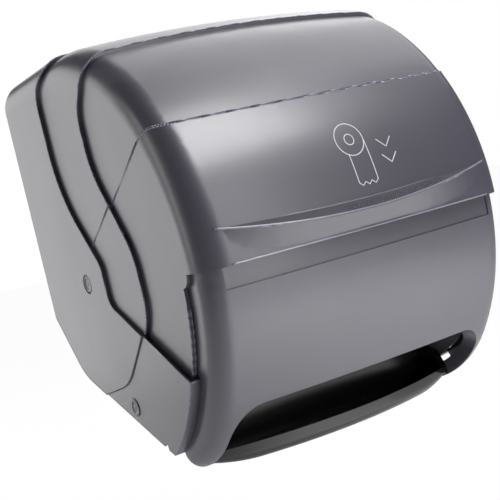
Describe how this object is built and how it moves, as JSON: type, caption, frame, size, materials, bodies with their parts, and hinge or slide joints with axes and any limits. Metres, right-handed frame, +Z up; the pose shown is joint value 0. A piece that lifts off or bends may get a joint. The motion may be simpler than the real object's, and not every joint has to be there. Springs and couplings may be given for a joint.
{
  "type": "roll towel dispenser",
  "caption": "Wall-hung roll towel dispenser in smoke plastic with a hinged cover, a press lever on the front, a gear-driven feed roller and an open mouth with a tear bar below.",
  "frame": {"origin": "centre of the four wall screws, on the wall face of the back plate", "axes": "+Z up, +X to the dispenser's right side with the gear train, -Y out of the wall towards the user"},
  "size_m": [0.292, 0.2972, 0.347],
  "materials": {
    "smoke_plastic": "translucent smoke, satin",
    "black_plastic": "black moulded plastic",
    "grey_plastic": "dark grey moulded plastic",
    "gear_plastic": "natural white acetal",
    "pin_plastic": "dark grey plastic",
    "steel": "zinc plated",
    "zinc": "nickel plated",
    "rubber": "matt moulded rubber"
  },
  "bodies": {
    "chassis": {"back_plate": "grey_plastic", "side_frame_left": "black_plastic", "side_frame_right": "black_plastic", "gear_posts": "steel", "post_clips": "steel", "roller_bushes": "gear_plastic", "front_guide": "black_plastic", "tear_bar": "steel", "tear_bar_screws": "steel", "towel_chute": "black_plastic", "pinch_springs": "steel", "stub_cradle": "black_plastic", "arm_pins": "steel", "frame_screws": "steel", "cover_hinge_pins": "pin_plastic", "lock_keeper": "steel", "return_spring": "steel"},
    "cover": {"cover_shell": "smoke_plastic", "lever_pivot_pins": "pin_plastic", "pivot_pin_clips": "pin_plastic", "lock_barrel": "zinc"},
    "lever": {"lever_shell": "smoke_plastic"},
    "lock": {"lock_plug": "zinc", "lock_cam": "zinc"},
    "sector": {"drive_sector": "gear_plastic"},
    "compound": {"compound_gear": "gear_plastic"},
    "pinion": {"roller_pinion": "gear_plastic"},
    "drive_roller": {"drive_shaft": "steel", "roller_core": "grey_plastic", "roller_sleeves": "rubber", "shaft_clips": "steel"},
    "pinch_roller": {"pinch_shaft": "steel", "pinch_rollers": "rubber"},
    "transfer": {"transfer_bar": "black_plastic"},
    "arm_left": {"roll_arm_left": "grey_plastic"},
    "arm_right": {"roll_arm_right": "grey_plastic"},
    "plug_left": {"core_plug_left": "grey_plastic"},
    "plug_right": {"core_plug_right": "grey_plastic"}
  },
  "joints": [
    {"name": "cover_open", "type": "hinge", "parent": "chassis", "child": "cover", "pos_m": [0, -0.129, -0.172], "axis": [1, 0, 0], "range_deg": [0, 100]},
    {"name": "lever_press", "type": "hinge", "parent": "cover", "child": "lever", "pos_m": [0, -0.093, -0.07], "axis": [1, 0, 0], "range_deg": [0, 16], "stiffness_Nm_per_rad": 3, "springref_deg": -14.32},
    {"name": "lock_turn", "type": "hinge", "parent": "cover", "child": "lock", "pos_m": [0, -0.044, 0.1], "axis": [0, 0, 1], "range_deg": [0, 90]},
    {"name": "sector_turn", "type": "hinge", "parent": "chassis", "child": "sector", "pos_m": [0.1328, -0.093, -0.07], "axis": [1, 0, 0], "range_deg": [0, 16]},
    {"name": "compound_turn", "type": "hinge", "parent": "chassis", "child": "compound", "pos_m": [0.13, -0.14987, -0.14547], "axis": [1, 0, 0], "range_deg": [-152.01, 0]},
    {"name": "pinion_turn", "type": "hinge", "parent": "chassis", "child": "pinion", "pos_m": [0.1278, -0.17788, -0.15622], "axis": [1, 0, 0], "range_deg": [0, 354.68]},
    {"name": "roller_turn", "type": "hinge", "parent": "chassis", "child": "drive_roller", "pos_m": [0, -0.17788, -0.15622], "axis": [1, 0, 0], "continuous": true},
    {"name": "pinch_turn", "type": "hinge", "parent": "chassis", "child": "pinch_roller", "pos_m": [0, -0.16518, -0.17822], "axis": [1, 0, 0], "continuous": true},
    {"name": "transfer_tilt", "type": "hinge", "parent": "chassis", "child": "transfer", "pos_m": [0, -0.127, -0.151], "axis": [1, 0, 0], "range_deg": [-20, 0]},
    {"name": "arm_left_swing", "type": "hinge", "parent": "chassis", "child": "arm_left", "pos_m": [-0.108, -0.016, -0.002], "axis": [0, 0, 1], "range_deg": [-12, 0]},
    {"name": "arm_right_swing", "type": "hinge", "parent": "chassis", "child": "arm_right", "pos_m": [0.108, -0.016, -0.002], "axis": [0, 0, 1], "range_deg": [0, 12]},
    {"name": "plug_left_spin", "type": "hinge", "parent": "arm_left", "child": "plug_left", "pos_m": [-0.104, -0.105, -0.002], "axis": [1, 0, 0], "continuous": true},
    {"name": "plug_right_spin", "type": "hinge", "parent": "arm_right", "child": "plug_right", "pos_m": [0.104, -0.105, -0.002], "axis": [1, 0, 0], "continuous": true}
  ],
  "couplings": [
    {"joint": "sector_turn", "follows": "lever_press", "ratio": 1},
    {"joint": "compound_turn", "follows": "lever_press", "ratio": -9.5},
    {"joint": "pinion_turn", "follows": "lever_press", "ratio": 22.167},
    {"joint": "pinch_turn", "follows": "roller_turn", "ratio": -2.125}
  ]
}
